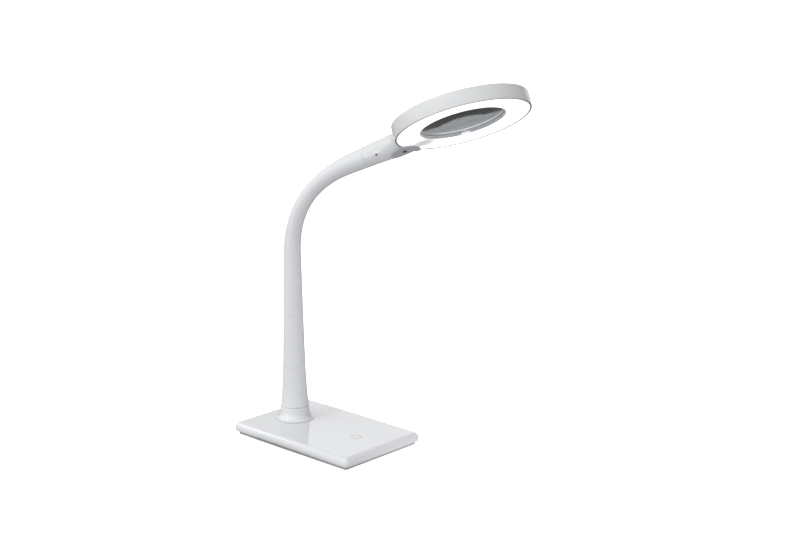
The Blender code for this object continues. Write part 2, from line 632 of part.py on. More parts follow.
def side_screw_axis():
    """Where the clamping screw enters the neck's side, and the way it points."""
    centre, tangent, across, up = neck_station(22 * MM)
    outward = across * -cos(radians(-26)) + up * sin(radians(-26))
    return centre + outward * 15 * MM, -outward


def neck_cover(head, white, spot):
    """The flat cover under the neck: its tongue reaches over the edge of the diffuser."""
    thickness, tongue = 1.6 * MM, 1.0 * MM
    rim = -RING_RADIUS - 1.6 * MM
    lower = [(x * MM, FACE + z * MM) for x, z in FLAT_CURVE]
    lower = [(x, z - tongue if x > rim else z) for x, z in lower]
    lower.append((-74 * MM, lower[-1][1]))
    upper = [(x, z + thickness) for x, z in lower if x < rim] + [(rim, FACE - GAP), (-74 * MM, FACE - GAP)]
    plate = slab(lower + list(reversed(upper)), 40 * MM)
    cover = new_object("neck_cover", plate, white, head, world=False)
    back, front, half = -114.5 * MM, -76.5 * MM, 20 * MM
    waist = -92 * MM
    outline = [(waist + (back - waist) * sin(a), 16.6 * MM * cos(a)) for a in arc_angles(0, pi, 14)]
    outline += [(-88 * MM, -half), (-85 * MM, -half)]
    outline += [(front - (1 - cos(a)) * 14 * MM, half * sin(a) / sin(1.1)) for a in arc_angles(-1.1, 1.1, 10)]
    outline += [(-85 * MM, half), (-88 * MM, half)]
    boolean(cover, cutter("cover_outline", prism(outline, FACE - 20 * MM, FACE + 20 * MM), head), "INTERSECT")
    seat = [(-6 * MM, SCREW_HEAD_RADIUS + GAP), (-1.4 * MM, SCREW_HEAD_RADIUS + GAP)]
    seat += [(-1.4 * MM, SCREW_RADIUS + GAP), (4 * MM, SCREW_RADIUS + GAP)]
    boolean(cover, cutter("cover_seat", turned(straight(seat), 20, along(spot, (0, 0, 1))), head))


def neck_fittings(head, cover_spot):
    """The bush that grips the arm's end, the clamping screw and the cover's screw."""
    bush = straight([(2 * MM, 10.7 * MM), (20 * MM, 10.7 * MM), (20 * MM, 6.8 * MM), (2 * MM, 6.8 * MM)])
    shape = turned(bush, 24, neck_station, closed=True)
    nylon = material("bush_nylon", (0.78, 0.76, 0.70), 0.5)
    bush_piece = new_object("swivel_bush", shape, nylon, head, world=False)
    spot, inward = side_screw_axis()
    boolean(bush_piece, cutter("bush_screw_hole", rod(spot, inward, 12 * MM, 2.2 * MM, 16), head))
    steel = material("screw_dark", (0.25, 0.25, 0.27), 0.4, 1.0)
    screw = rod(spot + inward * 1.2 * MM, inward, 6.2 * MM, 1.9 * MM, 16)
    new_object("clamp_screw", screw, steel, head, world=False)
    rows = [(-1.9 * MM, SCREW_HEAD_RADIUS), (-1.4 * MM - GAP, SCREW_HEAD_RADIUS)]
    rows += [(-1.4 * MM - GAP, SCREW_RADIUS), (6 * MM, SCREW_RADIUS)]
    screw = turned(straight(rows), 16, along(cover_spot, (0, 0, 1)))
    new_object("cover_screw", screw, steel, head, world=False)


def lens_cover(frames):
    """The round lid over the lens, with a lug that turns on the hinge pin and a tab to lift it by."""
    lid = frames["lid"]
    down = -HINGE_HEIGHT
    base = down + LID_SEAT + GAP
    top = base + LID_THICKNESS
    rows = [(base, 0), (base, LID_RADIUS), (top - 0.5 * MM, LID_RADIUS)]
    rows += [(top, LID_RADIUS - 0.6 * MM), (top, 0)]
    disc = turned(straight(rows), RING_SIDES, upright(HINGE_BACK, 0))
    cover = new_object("lens_cover", disc, material("lid_white", WHITE, 0.2), lid, world=False)
    outline = [(HINGE_BARREL * cos(a), HINGE_BARREL * sin(a)) for a in arc_angles(0, pi * 1.4, 9)]
    outline += [(4.2 * MM, -3 * MM), (4.6 * MM, base + 0.4 * MM)]
    outline += [(9 * MM, base + 0.4 * MM), (9 * MM, top + 0.6 * MM)]
    boolean(cover, cutter("lug", slab(outline, 8 * MM), lid), "UNION")
    front = HINGE_BACK + LID_RADIUS
    tab = block((front - 8 * MM, -8 * MM, top - 1 * MM), (front - 1 * MM, 8 * MM, top + 1.8 * MM))
    boolean(cover, cutter("tab_root", tab, lid), "UNION")
    lip = down + RING_HEIGHT + GAP
    tab = block((front - 6 * MM, -7 * MM, lip), (front + 5 * MM, 7 * MM, top + 1.6 * MM))
    boolean(cover, cutter("tab", tab, lid), "UNION")
    bore = rod((0, -9 * MM, 0), (0, 1, 0), 18 * MM, PIN_RADIUS + GAP, 12)
    boolean(cover, cutter("lug_bore", bore, lid))
    pin = rod((-HINGE_BACK, -13 * MM, FACE + HINGE_HEIGHT), (0, 1, 0), 26 * MM, PIN_RADIUS, 12)
    steel = material("pin_steel", (0.6, 0.61, 0.63), 0.3, 1.0)
    new_object("hinge_pin", pin, steel, frames["head"], world=False)


def build_lamp():
    clear_scene()
    frames = body_frames()
    base_cover()
    base_tray()
    base_pad()
    base_screws()
    ballast_plate()
    base_electrics()
    column()
    arm_links(frames)
    arm_sleeves(frames)
    head_housing(frames)
    head_optics(frames)
    neck(frames)
    lens_cover(frames)


build_lamp()
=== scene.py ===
"""The looks of a desk magnifying lamp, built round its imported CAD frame. Metres, +Z up."""

from math import cos, pi, radians, sin

import bmesh
import bpy
import numpy as np
from mathutils import Euler, Matrix, Vector


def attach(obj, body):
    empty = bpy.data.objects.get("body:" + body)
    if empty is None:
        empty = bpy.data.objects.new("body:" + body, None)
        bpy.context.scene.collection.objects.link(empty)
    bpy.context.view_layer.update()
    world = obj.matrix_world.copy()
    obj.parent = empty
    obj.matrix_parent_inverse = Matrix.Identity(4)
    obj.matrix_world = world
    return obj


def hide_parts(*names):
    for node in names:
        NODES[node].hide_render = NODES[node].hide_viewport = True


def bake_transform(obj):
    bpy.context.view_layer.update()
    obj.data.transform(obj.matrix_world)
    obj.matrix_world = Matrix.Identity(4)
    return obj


MM = 0.001

# Base
BASE_LENGTH = 225 * MM
BASE_WIDTH = 148 * MM
BASE_CORNER = 8 * MM
BASE_TOP = 18.3 * MM
LIP_HEIGHT = 6.3 * MM
SHOULDER_LOW = 8.5 * MM
SHOULDER_WIDTH = 6.5 * MM
TRAY_INSET = 5.2 * MM
PAD_HEIGHT = 0.8 * MM
PAD_LENGTH = 180 * MM
PAD_WIDTH = 126 * MM
SCREW_SPOTS = [(x, y) for x in (-99 * MM, 99 * MM) for y in (-34 * MM, 34 * MM)]
TOUCH_X = 59.8 * MM
TOUCH_RADIUS = 7.2 * MM
INLET_HEIGHT = 11.3 * MM
INLET_RADIUS = 3.4 * MM

# Column and arm
COLUMN_X = -63.1 * MM
ARM_TURN = radians(11)
BEND_START = 257.7 * MM
BEND_RISE = 87.7 * MM
BEND_RUN = 45.9 * MM
BEND_REACH = 108.9 * MM
BEND_TOP = 395.7 * MM
NECK_RISE = radians(22.83)
SEAM_RUN = 20 * MM
COLLAR_SEAM = 18.9 * MM
SLEEVE_RADII = [(0, 19.9), (19, 19.7), (32, 18.5), (50, 17.3), (72, 16.2), (120, 14.8), (180, 13.4)]
SLEEVE_RADII += [(240, 12.2), (300, 11.0), (340, 10.9), (385, 11.9), (420, 13.4), (455, 14.5)]
FIRST_JOINT = 224 * MM
JOINT_COUNT = 8

# Head
RING_RADIUS = 89 * MM
RING_TOP_RADIUS = 89.3 * MM
RING_HEIGHT = 20 * MM
OPENING_RADIUS = 56.3 * MM
HEAD_ROLL = radians(-11.5)
HEAD_PITCH = radians(-24.25)
NECK_TO_RING = 172 * MM
RING_LIFT = 0.5 * MM
FACE = -RING_HEIGHT / 2
CLIP_ANGLES = (radians(-20), radians(120), radians(-100))
LID_RADIUS = OPENING_RADIUS + 6 * MM
LID_SEAT = RING_HEIGHT - 2.4 * MM
HINGE_BACK = LID_RADIUS + 4 * MM
HINGE_HEIGHT = RING_HEIGHT + 3.6 * MM
EAR_RADIUS = 3.0 * MM
EAR_START = 8.4 * MM
EAR_END = 12.4 * MM
LUG_HALF = 8 * MM
LUG_RADIUS = 2.6 * MM
LID_THICKNESS = 2 * MM

# Studio: for each part of the light, a share of a direction from low to high, and the light at each
BEHIND = (-0.677, 0.736, 0)
RIGHT = (0.736, 0.677, 0)
FRONT_LEFT = (0.218, -0.976, 0)
UP = (0, 0, 1)
FLOOR_REACH = 40
FLOOR_HEIGHT = -0.2 * MM
FLOOR_GLOW = 0.95
SIDE_LIGHT = (-0.95, 0.95, 0.12, 1.42)
BACK_WALL = (0.7, 0.92, 0.0, 1.2)
BACK_SPLIT = (-0.09, -0.065, 0.74, 1.0)
WALL_TOP = (0.55, 0.9, 1.0, 0.0)
ZENITH = (0.3, 0.9, 0.0, 0.67)
HORIZON_UP = (-0.05, 0.05, 0.0, 1.0)
HORIZON_DOWN = (-0.05, 0.05, 0.35, 0.0)
TABLE_CENTRE = (330 * MM, 130 * MM, 0)
TABLE_HEIGHT = -0.1 * MM
TABLE_RADIUS = 450 * MM
TABLE_GLOW = (60 * MM, 420 * MM, 1.9, 0.0)

# Camera
CAMERA_PLACE = (1.3074, -1.2666, 0.6553)
CAMERA_TARGET = (0.0762, 0.0702, 0.2486)
CAMERA_LENS = 61.43

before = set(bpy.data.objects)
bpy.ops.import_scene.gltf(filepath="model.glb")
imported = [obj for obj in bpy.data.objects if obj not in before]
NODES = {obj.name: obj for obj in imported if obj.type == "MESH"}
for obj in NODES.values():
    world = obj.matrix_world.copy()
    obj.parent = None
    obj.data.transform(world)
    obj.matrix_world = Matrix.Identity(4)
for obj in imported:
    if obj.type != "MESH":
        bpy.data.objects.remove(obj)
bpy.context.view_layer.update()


# Mesh tools ------------------------------------------------------------------------------------------

def mesh_piece(name, points, faces, finish, matrix=None, sharp=40):
    mesh = bpy.data.meshes.new(name)
    mesh.from_pydata([tuple(p) for p in points], [], faces)
    mesh.validate()
    if matrix:
        mesh.transform(matrix)
    shape = bmesh.new()
    shape.from_mesh(mesh)
    bmesh.ops.remove_doubles(shape, verts=shape.verts, dist=1e-7)
    bmesh.ops.recalc_face_normals(shape, faces=shape.faces)
    shape.to_mesh(mesh)
    shape.free()
    made = bpy.data.objects.new(name, mesh)
    bpy.context.scene.collection.objects.link(made)
    mesh.materials.append(finish)
    mesh.shade_smooth()
    mesh.set_sharp_from_angle(angle=radians(sharp))
    return made


def loft_data(rings, closed=False, caps=True):
    """Points and faces between successive rings. A ring of one point closes the shape there."""
    points, loops = [], []
    for ring in rings:
        loops.append(range(len(points), len(points) + len(ring)))
        points.extend(ring)
    pairs = list(zip(loops, loops[1:]))
    if closed:
        pairs.append((loops[-1], loops[0]))
    faces = []
    for low, high in pairs:
        count = max(len(low), len(high))
        for i in range(count):
            j = (i + 1) % count
            corners = (low[i % len(low)], low[j % len(low)], high[j % len(high)], high[i % len(high)])
            faces.append(tuple(dict.fromkeys(corners)))
    if caps and not closed:
        faces += [tuple(end) for end in (loops[0], loops[-1]) if len(end) > 2]
    return points, faces


def loft(name, rings, finish, matrix=None, closed=False, caps=True, sharp=40):
    return mesh_piece(name, *loft_data(rings, closed, caps), finish, matrix, sharp)


def circle(radius, height, sides, x=0.0, y=0.0):
    if radius == 0:
        return [(x, y, height)]
    angles = [2 * pi * i / sides for i in range(sides)]
    return [(x + radius * cos(a), y + radius * sin(a), height) for a in angles]


def turned(name, rows, finish, matrix=None, sides=128, closed=False, centre=(0, 0), sharp=40):
    """Rows of (radius, height) turned about an upright axis."""
    rings = [circle(r, z, sides, *centre) for r, z in rows]
    return loft(name, rings, finish, matrix, closed, sharp=sharp)


def smooth_path(rows, steps):
    """A Catmull-Rom curve through rows of numbers, with a few steps between each two."""
    rows = [np.array(r, float) for r in rows]
    ends = [2 * rows[0] - rows[1]] + rows + [2 * rows[-1] - rows[-2]]
    made = []
    for i in range(1, len(ends) - 2):
        a, b, c, d = ends[i - 1 : i + 3]
        for k in range(steps):
            t = k / steps
            bend = (2 * a - 5 * b + 4 * c - d) * t**2 + (3 * b - a - 3 * c + d) * t**3
            made.append(0.5 * (2 * b + (c - a) * t + bend))
    return made + [rows[-1]]


def rounded_plan(inset, z, length=BASE_LENGTH, width=BASE_WIDTH, corner=BASE_CORNER, steps=20):
    radius = max(corner - inset, 1.5 * MM)
    half_x, half_y = length / 2 - inset - radius, width / 2 - inset - radius
    points = []
    for quarter, (sx, sy) in enumerate([(1, 1), (-1, 1), (-1, -1), (1, -1)]):
        for step in range(steps + 1):
            angle = (quarter + step / steps) * pi / 2
            points.append((sx * half_x + radius * cos(angle), sy * half_y + radius * sin(angle), z))
    return points


def cutter(name, points, faces, matrix=None):
    made = mesh_piece(name, points, faces, finish_of("cutter", (1, 0, 0), 1), matrix)
    made.hide_render = True
    made.hide_viewport = True
    return made


def apply_booleans(target, tools, operation="DIFFERENCE"):
    """Cuts or joins the tools with the target, and then removes them."""
    for tool in tools:
        change = target.modifiers.new(tool.name, "BOOLEAN")
        change.object = tool
        change.operation = operation
        change.solver = "EXACT"
        tool.hide_viewport = False
    bpy.context.view_layer.update()
    depsgraph = bpy.context.evaluated_depsgraph_get()
    mesh = bpy.data.meshes.new_from_object(target.evaluated_get(depsgraph))
    target.modifiers.clear()
    target.data = mesh
    for tool in tools:
        bpy.data.objects.remove(tool)
    return target


def smooth_sharp(piece, angle=32):
    piece.data.shade_smooth()
    piece.data.set_sharp_from_angle(angle=radians(angle))


def bevel(piece, width, segments=3, angle=40):
    change = piece.modifiers.new("edge", "BEVEL")
    change.width = width
    change.segments = segments
    change.limit_method = "ANGLE"
    change.angle_limit = radians(angle)
    change.harden_normals = True


# Materials -------------------------------------------------------------------------------------------

PLASTIC_IOR = 1.46
GLASS_IOR = 1.52
COAT_ROUGHNESS = 0.06
DRIFT_SCALE = 14
SMEAR_SCALE = 55
DUST_SCALE = 40
PEEL_DEPTH = 0.0002
# The diffuser's dim spot: its place on the face, and near distance, far distance, share left when near
GLOW_DIM_SPOT = (-66 * MM, 4 * MM, 0)
GLOW_DIM = (4 * MM, 26 * MM, 0.25)


def node(tree, kind, **values):
    made = tree.nodes.new(kind)
    for key, value in values.items():
        if key in made.inputs:
            made.inputs[key].default_value = value
        else:
            setattr(made, key, value)
    return made


def set_range(mapping, low, high, start, end):
    """Maps what runs from low to high onto start to end."""
    for key, value in (("From Min", low), ("From Max", high), ("To Min", start), ("To Max", end)):
        mapping.inputs[key].default_value = value


def finish_of(name, colour, roughness, metallic=0.0):
    """A plain material of this name, or the one already made."""
    made = bpy.data.materials.get(name)
    if made:
        return made
    made = bpy.data.materials.new(name)
    made.use_nodes = True
    shader = made.node_tree.nodes["Principled BSDF"]
    shader.inputs["Base Color"].default_value = (*colour, 1)
    shader.inputs["Roughness"].default_value = roughness
    shader.inputs["Metallic"].default_value = metallic
    return made


def moulded(
    name, colour, roughness, metallic=0.0, spread=0.06, grain=900, bump=0.02, tone=0.03, coat=0.0
):
    """A surface with slow colour drift, fine roughness variation, and the faint texture of its mould."""
    made = finish_of(name, colour, roughness, metallic)
    tree = made.node_tree
    shader = tree.nodes["Principled BSDF"]
    shader.inputs["IOR"].default_value = PLASTIC_IOR
    shader.inputs["Coat Weight"].default_value = coat
    shader.inputs["Coat Roughness"].default_value = COAT_ROUGHNESS
    spot = node(tree, "ShaderNodeTexCoord")
    drift = node(tree, "ShaderNodeTexNoise", Scale=DRIFT_SCALE, Detail=3, Roughness=0.55)
    tree.links.new(spot.outputs["Object"], drift.inputs["Vector"])
    ramp = node(tree, "ShaderNodeMix", data_type="RGBA")
    ramp.inputs["A"].default_value = (*[c * (1 - tone) for c in colour], 1)
    ramp.inputs["B"].default_value = (*[min(c * (1 + tone * 0.6), 1) for c in colour], 1)
    tree.links.new(drift.outputs["Fac"], ramp.inputs["Factor"])
    tree.links.new(ramp.outputs["Result"], shader.inputs["Base Color"])
    smear = node(tree, "ShaderNodeTexNoise", Scale=SMEAR_SCALE, Detail=6, Roughness=0.6)
    tree.links.new(spot.outputs["Object"], smear.inputs["Vector"])
    spreads = node(tree, "ShaderNodeMapRange")
    set_range(spreads, 0.3, 0.7, max(roughness - spread, 0.02), min(roughness + spread, 1))
    tree.links.new(smear.outputs["Fac"], spreads.inputs["Value"])
    tree.links.new(spreads.outputs["Result"], shader.inputs["Roughness"])
    peel = node(tree, "ShaderNodeTexNoise", Scale=grain, Detail=4, Roughness=0.5)
    tree.links.new(spot.outputs["Object"], peel.inputs["Vector"])
    raised = node(tree, "ShaderNodeBump", Strength=bump, Distance=PEEL_DEPTH)
    tree.links.new(peel.outputs["Fac"], raised.inputs["Height"])
    tree.links.new(raised.outputs["Normal"], shader.inputs["Normal"])
    return made


def glowing(name, colour, strength):
    """Opal plastic lit from behind, its glow dimmer beside the neck."""
    made = moulded(name, colour, 0.35, spread=0.05, grain=1400, bump=0.03)
    tree = made.node_tree
    shader = tree.nodes["Principled BSDF"]
    shader.inputs["Emission Color"].default_value = (1.0, 0.995, 0.985, 1)
    spot = node(tree, "ShaderNodeTexCoord")
    away = node(tree, "ShaderNodeVectorMath", operation="DISTANCE")
    away.inputs[1].default_value = FACE_MATRIX @ Vector(GLOW_DIM_SPOT)
    tree.links.new(spot.outputs["Object"], away.inputs[0])
    dim = node(tree, "ShaderNodeMapRange", interpolation_type="SMOOTHSTEP")
    near, far, share = GLOW_DIM
    set_range(dim, near, far, strength * share, strength)
    tree.links.new(away.outputs["Value"], dim.inputs["Value"])
    tree.links.new(dim.outputs["Result"], shader.inputs["Emission Strength"])
    return made


def clear_glass(name):
    made = finish_of(name, (0.93, 0.95, 0.96), 0.0)
    tree = made.node_tree
    shader = tree.nodes["Principled BSDF"]
    shader.inputs["Transmission Weight"].default_value = 1.0
    shader.inputs["IOR"].default_value = GLASS_IOR
    spot = node(tree, "ShaderNodeTexCoord")
    dust = node(tree, "ShaderNodeTexNoise", Scale=DUST_SCALE, Detail=8, Roughness=0.7)
    tree.links.new(spot.outputs["Object"], dust.inputs["Vector"])
    film = node(tree, "ShaderNodeMapRange")
    set_range(film, 0.45, 0.8, 0.0, 0.05)
    tree.links.new(dust.outputs["Fac"], film.inputs["Value"])
    tree.links.new(film.outputs["Result"], shader.inputs["Roughness"])
    return made


def paint_own_glow(finish, share):
    """Painted light: an own glow for plastic round the lens's pocket, standing in for the light that
    reaches it through the plastic.
    """
    shader = finish.node_tree.nodes["Principled BSDF"]
    shader.inputs["Emission Color"].default_value = (0.93, 0.97, 1, 1)
    shader.inputs["Emission Strength"].default_value = share


GLOSS = moulded("gloss_white", (0.67, 0.68, 0.695), 0.10, spread=0.03, bump=0.01, coat=0.4)
COLLAR = moulded("collar_gloss", (0.69, 0.70, 0.715), 0.14, spread=0.04, bump=0.01, coat=0.3)
SKIN = moulded("satin_skin", (0.69, 0.70, 0.72), 0.30, spread=0.05, grain=1600, bump=0.05)
SHELL = moulded("head_white", (0.68, 0.69, 0.70), 0.16, spread=0.04, bump=0.015, coat=0.2)
# Painted shade: grey for the neck plate, which is white plastic that looks grey only in its own shade.
PLATE_SHADE_GREY = moulded("plate_painted_shade", (0.45, 0.46, 0.49), 0.32, spread=0.06, bump=0.04)
PAN = moulded("pan_grey", (0.42, 0.43, 0.45), 0.45, spread=0.08, bump=0.06)
RUBBER = moulded("grip_rubber", (0.045, 0.045, 0.05), 0.8, spread=0.1, grain=2500, bump=0.4)
MARK = moulded("touch_print", (0.12, 0.13, 0.15), 0.3)
WALL = moulded("wall_grey", (0.40, 0.41, 0.43), 0.3, bump=0.03)
RIM = moulded("rim_white", (0.85, 0.86, 0.87), 0.2)
TAB = moulded("tab_white", (0.86, 0.87, 0.88), 0.22)
GLASS = clear_glass("lens_clear")
# Painted shade: a dark grey for the housing's lip, for the shaded line between rim and diffuser.
LIP_SHADE_GREY = moulded("lip_painted_shade", (0.20, 0.20, 0.20), 0.5, spread=0.08, bump=0.05)
# Painted shade and painted light: the lid's underside gets a grey for its shade and a faint glow of its
# own.
LID_SHADE_AND_GLOW = moulded("lid_painted_shade_glow", (0.44, 0.45, 0.48), 0.5, spread=0.08, bump=0.05)
# Painted light: the bezel wall, the lid's underside and the clips glow, though they are no lamp.
paint_own_glow(WALL, 0.16)
paint_own_glow(LID_SHADE_AND_GLOW, 0.13)
paint_own_glow(TAB, 0.4)
LID = moulded("lid_white", (0.68, 0.69, 0.70), 0.2, spread=0.05, bump=0.02)
BLACK = moulded("socket_black", (0.03, 0.03, 0.03), 0.4)
STEEL = moulded("bright_steel", (0.60, 0.61, 0.63), 0.28, 1.0, spread=0.1, grain=600, bump=0.05)
DARK = moulded("dark_steel", (0.16, 0.16, 0.17), 0.35, 1.0, spread=0.1, bump=0.05)
BOARD = moulded("board_green", (0.03, 0.16, 0.08), 0.45, spread=0.1, bump=0.1)
IRON = moulded("ballast_iron", (0.10, 0.10, 0.11), 0.6, 1.0, spread=0.15, grain=300, bump=0.4)
NYLON = moulded("bush_nylon", (0.70, 0.67, 0.60), 0.5, spread=0.1, bump=0.08)
BOARD_WHITE = moulded("board_white", (0.75, 0.76, 0.73), 0.5, spread=0.1, bump=0.08)

CAD_FINISHES = {
    "ballast_plate": IRON,
    "column_tube": STEEL,
    "column_nut": STEEL,
    "arm_socket": STEEL,
    "driver_board": BOARD,
    "touch_sensor": BOARD,
    "light_board": BOARD_WHITE,
    "swivel_bush": NYLON,
}
CAD_FINISHES.update({f"arm_link_{i}": STEEL for i in range(1, JOINT_COUNT + 1)})


def dress_cad_nodes():
    for name, finish in CAD_FINISHES.items():
        mesh = NODES[name].data
        mesh.materials.clear()
        mesh.materials.append(finish)


def place(piece, body, *stands_for, slot=None):
    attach(piece, body)
    if stands_for:
        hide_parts(*stands_for)
    return piece


# Base --------------------------------------------------------------------------------------------------

def base_shell():
    turns = [i / 18 * pi / 2 for i in range(19)]
    rows = [(3.6 * MM, 15.6 * MM), (3.4 * MM, 6.7 * MM), (3.0 * MM, LIP_HEIGHT), (1.5 * MM, LIP_HEIGHT)]
    low = SHOULDER_LOW - LIP_HEIGHT
    rows += [(1.2 * MM * (1 - sin(b)), SHOULDER_LOW - low * cos(b)) for b in turns[::3]]
    rise = BASE_TOP - SHOULDER_LOW
    rows += [(SHOULDER_WIDTH * (1 - cos(a)), SHOULDER_LOW + rise * sin(a)) for a in turns[1:]]
    rows.append((SHOULDER_WIDTH + 0.4 * MM, BASE_TOP))
    shell = loft("base_shell", [rounded_plan(*row) for row in rows], GLOSS)
    hole = loft_data([circle(INLET_RADIUS + 0.2 * MM, z, 48) for z in (-4 * MM, 9 * MM)])
    turn = Matrix.Translation((-BASE_LENGTH / 2, 0, INLET_HEIGHT)) @ Matrix.Rotation(pi / 2, 4, "Y")
    apply_booleans(shell, [cutter("inlet_cut", *hole, turn)])
    smooth_sharp(shell, 30)
    place(shell, "base", "base_cover", slot="cover_white")
    rows = [(0, 2.2), (0.75, 2.0), (0.75, 9), (2.7, 9), (2.7, 1.9), (2.9, 1.6), (3.3, 1.6), (3.4, 1.8)]
    rows = [(r * MM, z * MM) for r, z in rows + [(3.4, 12), (0, 12)]]
    socket = turned("power_socket", rows, BLACK, turn, 64)
    place(socket, "base", "power_inlet", slot="inlet_black")


def touch_mark():
    inner = TOUCH_RADIUS - 0.75 * MM
    rows = [(inner, BASE_TOP - 0.4 * MM), (inner, BASE_TOP + 0.02 * MM)]
    rows += [(TOUCH_RADIUS, BASE_TOP + 0.02 * MM), (TOUCH_RADIUS, BASE_TOP - 0.4 * MM)]
    mark = turned("touch_mark", rows, MARK, None, 96, True, (TOUCH_X, 0))
    place(mark, "base", "touch_ring", slot="touch_grey")


def base_pan():
    low, top = PAD_HEIGHT, PAD_HEIGHT + 6.4 * MM
    rows = [(7 * MM, low + 3 * MM), (7 * MM, top), (TRAY_INSET, top), (TRAY_INSET, low + 0.8 * MM)]
    rows += [(TRAY_INSET + 0.25 * MM, low + 0.25 * MM), (TRAY_INSET + 0.8 * MM, low)]
    pan = loft("base_pan", [rounded_plan(*row) for row in rows], PAN, sharp=30)
    seats = []
    for i, (x, y) in enumerate(SCREW_SPOTS):
        seat = loft_data([circle(3.3 * MM, z, 40, x, y) for z in (0, low + 1.3 * MM)])
        seats.append(cutter(f"seat_{i}", *seat))
    apply_booleans(pan, seats)
    smooth_sharp(pan, 30)
    place(pan, "base", "base_tray", slot="tray_grey")
    rows = [(0.3 * MM, 0), (0.1 * MM, 0.08 * MM), (0, 0.25 * MM), (0, PAD_HEIGHT - 0.3 * MM)]
    pad = loft("grip_pad", [rounded_plan(i, z, PAD_LENGTH, PAD_WIDTH, 9 * MM) for i, z in rows], RUBBER)
    place(pad, "base", "base_pad", slot="pad_rubber")
    for i, (x, y) in enumerate(SCREW_SPOTS, start=1):
        screw = cross_screw(f"pan_screw_{i}", 2.9 * MM, 1.5 * MM, 9 * MM, STEEL)
        screw.data.transform(Matrix.Translation((x, y, PAD_HEIGHT + 0.3 * MM)))
        place(screw, "base", f"base_screw_{i}", slot="screw_steel")


def cross_screw(name, head, shank, length, finish):
    """A pan-head screw whose head faces down at its origin, with a cross recess."""
    rows = [(0, 0), (head * 0.7, 0.02 * MM), (head * 0.93, 0.15 * MM), (head, 0.45 * MM)]
    rows += [(head, 0.85 * MM), (shank, 0.85 * MM), (shank, length), (0, length)]
    screw = turned(name, rows, finish, None, 40)
    arm, half, depth = head * 0.55, 0.32 * MM, 0.5 * MM
    outline = [(arm, half), (half, half), (half, arm), (-half, arm), (-half, half), (-arm, half)]
    outline += [(-x, -y) for x, y in outline]
    ends = ((-1 * MM, 1.1), (depth, 0.7))
    recess = loft_data([[(x * share, y * share, z) for x, y in outline] for z, share in ends])
    apply_booleans(screw, [cutter(name + "_recess", *recess)])
    smooth_sharp(screw, 30)
    return screw


# Column and arm ----------------------------------------------------------------------------------------

OUTWARD = Vector((cos(ARM_TURN), sin(ARM_TURN), 0))
SIDEWAYS = Vector((-sin(ARM_TURN), cos(ARM_TURN), 0))
NECK_DIRECTION = OUTWARD * cos(NECK_RISE) + Vector((0, 0, sin(NECK_RISE)))


def centreline():
    direction = np.array([cos(NECK_RISE), sin(NECK_RISE)])
    start, end = np.array([0, BEND_START]), np.array([BEND_REACH, BEND_TOP])
    handles = [start, start + [0, BEND_RISE], end - direction * BEND_RUN, end]
    t = np.linspace(0, 1, 400)[:, None]
    weights = [(1 - t) ** 3, 3 * (1 - t) ** 2 * t, 3 * (1 - t) * t**2, t**3]
    bend = sum(w * h for w, h in zip(weights, handles))
    points = np.vstack([[0, BASE_TOP], bend, end + direction * 0.3])
    steps = np.hypot(*np.diff(points, axis=0).T)
    return np.concatenate([[0], np.cumsum(steps)]), points


DISTANCES, POINTS = centreline()
BEND_END = float(DISTANCES[-2])
SEAM = BEND_END + SEAM_RUN
JOINTS = [FIRST_JOINT + (SEAM - FIRST_JOINT) * i / JOINT_COUNT for i in range(JOINT_COUNT + 1)]


def on_arm(s):
    near = 1.5 * MM
    reach, height = (float(np.interp(s, DISTANCES, POINTS[:, k])) for k in range(2))
    ahead = [float(np.interp(s + near, DISTANCES, POINTS[:, k])) for k in range(2)]
    behind = [float(np.interp(s - near, DISTANCES, POINTS[:, k])) for k in range(2)]
    centre = Vector((COLUMN_X, 0, 0)) + OUTWARD * reach + Vector((0, 0, height))
    tangent = (OUTWARD * (ahead[0] - behind[0]) + Vector((0, 0, ahead[1] - behind[1]))).normalized()
    return centre, tangent, SIDEWAYS.copy(), tangent.cross(SIDEWAYS)


def sleeve_radius(s):
    at = np.array([row[0] for row in SLEEVE_RADII]) * MM
    radii = np.array([row[1] for row in SLEEVE_RADII]) * MM
    slopes = np.gradient(radii, at)
    i = int(np.clip(np.searchsorted(at, s) - 1, 0, len(at) - 2))
    width = at[i + 1] - at[i]
    u = float(np.clip((s - at[i]) / width, 0, 1))
    ease = 3 * u**2 - 2 * u**3
    bow = (u**3 - 2 * u**2 + u) * slopes[i] + (u**3 - u**2) * slopes[i + 1]
    return float(radii[i] * (1 - ease) + radii[i + 1] * ease + bow * width)


def arm_ring(s, radius, sides=96):
    centre, tangent, across, up = on_arm(s)
    angles = [2 * pi * i / sides for i in range(sides)]
    return [centre + (across * cos(a) + up * sin(a)) * radius for a in angles]


def arm_stations(start, end, spacing=1.5 * MM):
    """Stations along the arm, with one right beside each end so that neighbours shade alike."""
    count = max(int(round((end - start) / spacing)), 4)
    inner = [start + (end - start) * i / count for i in range(1, count)]
    close = 0.05 * MM
    return [start, start + close, *inner, end - close, end]


def column_pieces():
    rows = [(27.0, 0.3), (27.35, 0.5), (27.2, 0.95), (26.2, 1.5), (24.7, 2.4), (23.5, 3.6), (22.5, 5.3)]
    rows += [(21.6, 7.6), (20.95, 10.6), (20.45, 14.2), (20.05, 17.6)]
    curve = [tuple(p) for p in smooth_path(rows, 4)]
    curve += [(19.95, 18.4), (19.6, 18.75), (19.0, 18.8), (16, 18.8), (16, 0.3)]
    rows = [(r * MM, BASE_TOP + z * MM) for r, z in curve]
    collar = turned("collar", rows, COLLAR, None, 160, True, (COLUMN_X, 0))
    place(collar, "base", "column_collar", slot="collar_white")
    start = COLLAR_SEAM + 0.15 * MM
    end = (JOINTS[0] + JOINTS[1]) / 2 - (JOINTS[1] - JOINTS[0])
    edge = [(start, 18 * MM), (start, 19.0 * MM), (start + 0.08 * MM, 19.4 * MM)]
    rings = [arm_ring(s, r) for s, r in edge]
    rings += [arm_ring(s, sleeve_radius(s)) for s in arm_stations(start + 0.3 * MM, end, 4 * MM)]
    column = loft("column_skin", rings, SKIN, caps=False, sharp=50)
    place(column, "base", "column_sleeve", slot="sleeve_white")


